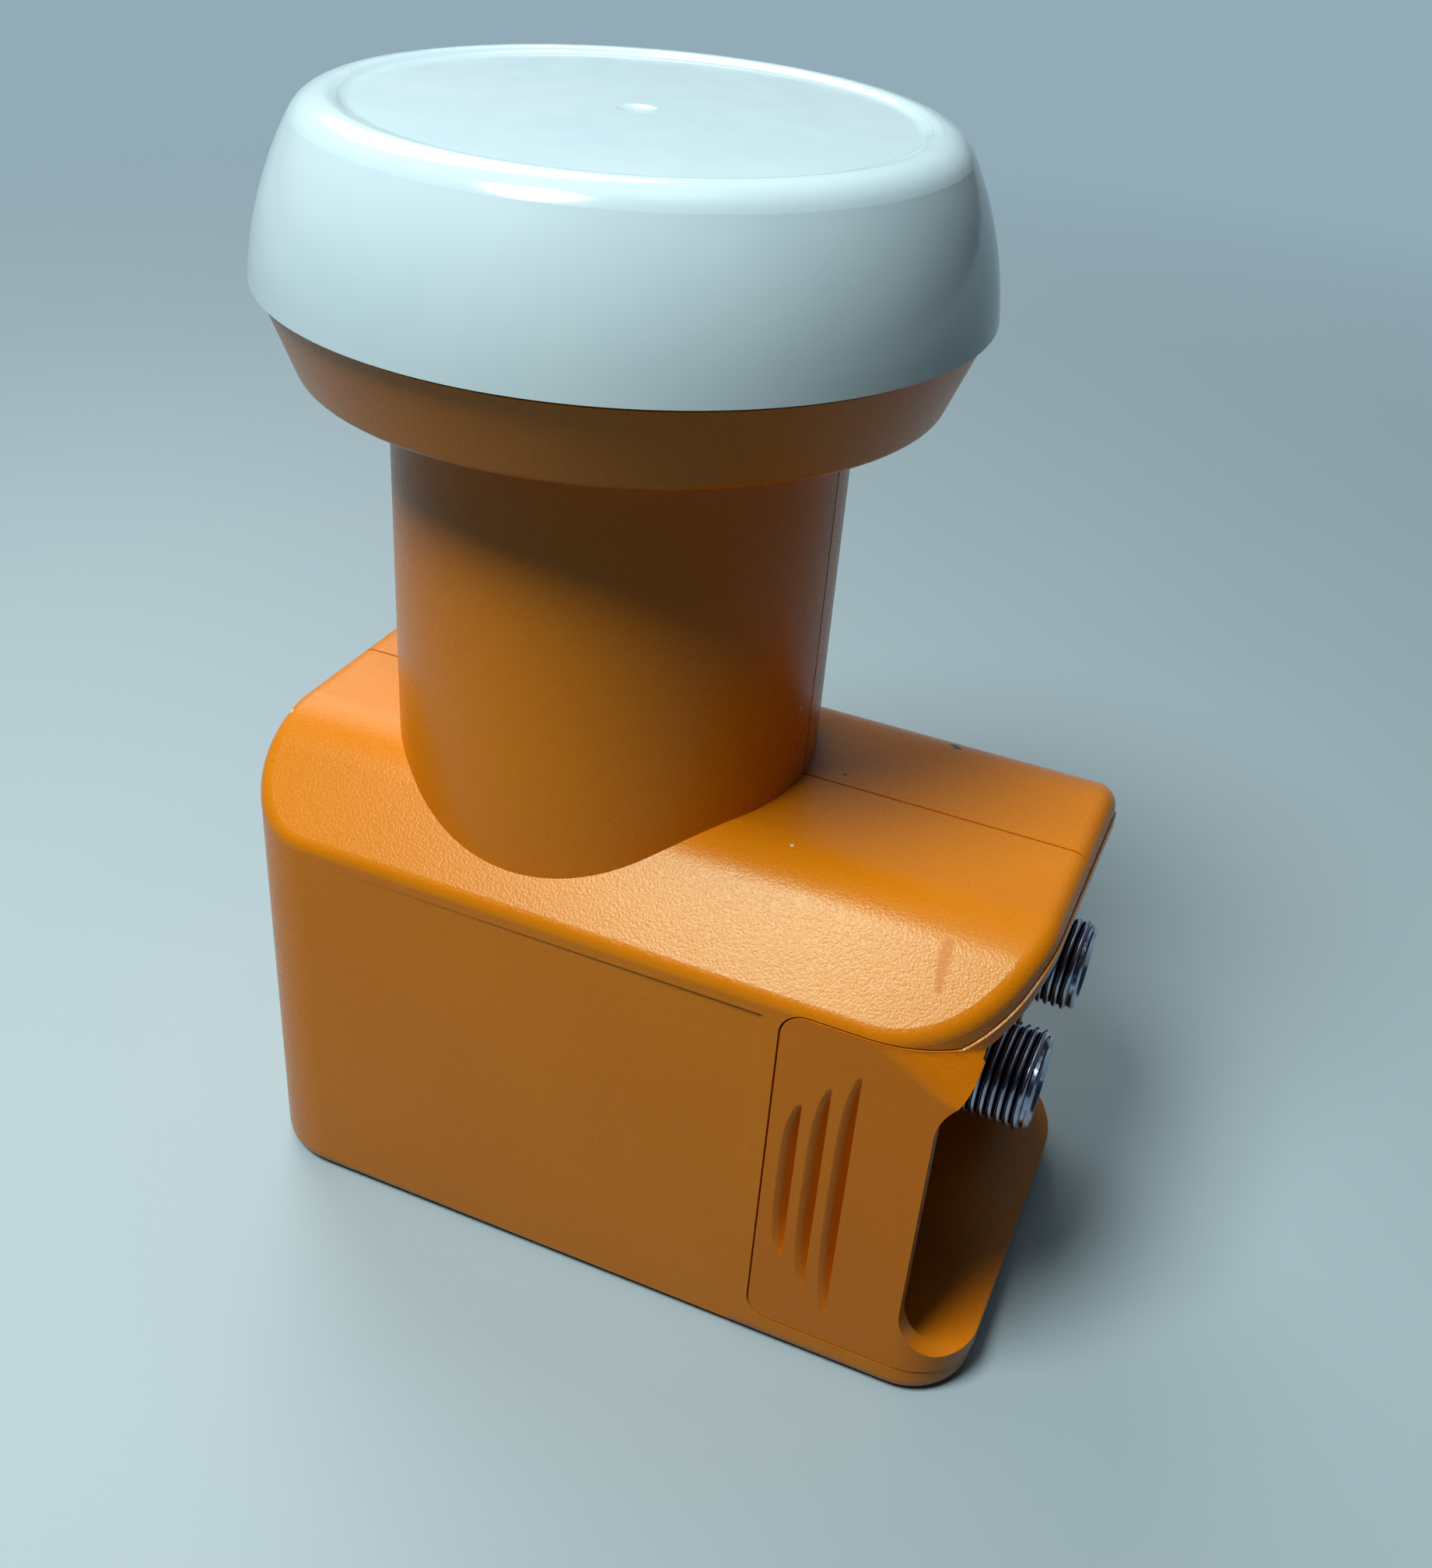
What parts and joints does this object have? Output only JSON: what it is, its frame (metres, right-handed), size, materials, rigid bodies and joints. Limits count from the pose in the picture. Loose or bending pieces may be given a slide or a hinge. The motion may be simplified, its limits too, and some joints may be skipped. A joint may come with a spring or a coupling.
{
  "type": "satellite lnb",
  "caption": "Satellite feed head: a clamp neck with a capped horn on a box housing, threaded coax outlets at one end and a sliding weather cover around them",
  "frame": {"origin": "On the base plane under the neck axis, where the part stands on its flat back", "axes": "+Z along the neck towards the feed cap, +X along the connectors, -Y the face with the label panel"},
  "size_m": [0.0792, 0.0612, 0.1055],
  "materials": {
    "orange_plastic": "satin spark-eroded grain",
    "white_plastic": "smooth gloss",
    "seal_rubber": "matte",
    "cast_alloy": "as cast",
    "board_laminate": "solder resist",
    "pin_brass": "tinned",
    "plated_thread": "dark nickel plate",
    "white_insulator": "waxy",
    "screw_steel": "zinc plate",
    "chip_black": "moulded",
    "can_metal": "plated can"
  },
  "bodies": {
    "housing": {"front_shell": "orange_plastic", "rear_shell": "orange_plastic", "horn_cap": "white_plastic", "cap_seal": "seal_rubber", "lid_gasket": "seal_rubber", "connector_seal_front": "seal_rubber", "connector_seal_rear": "seal_rubber", "feed_casting": "cast_alloy", "casting_lid": "cast_alloy", "circuit_board": "board_laminate", "isolation_pin": "pin_brass", "probe_h": "pin_brass", "probe_v": "pin_brass", "contact_front": "pin_brass", "contact_rear": "pin_brass", "connector_front": "plated_thread", "connector_rear": "plated_thread", "sleeve_h": "white_insulator", "sleeve_v": "white_insulator", "insulator_front": "white_insulator", "insulator_rear": "white_insulator", "lid_screw_1": "screw_steel", "lid_screw_2": "screw_steel", "lid_screw_3": "screw_steel", "lid_screw_4": "screw_steel", "board_screw_1": "screw_steel", "board_screw_2": "screw_steel", "downconverter_chip": "chip_black", "regulator_front": "chip_black", "regulator_rear": "chip_black", "crystal_can": "can_metal"},
    "cover": {"weather_cover": "orange_plastic"}
  },
  "joints": [
    {"name": "cover_slide", "type": "slide", "parent": "housing", "child": "cover", "axis": [1, 0, 0], "range_m": [0, 0.012]}
  ]
}
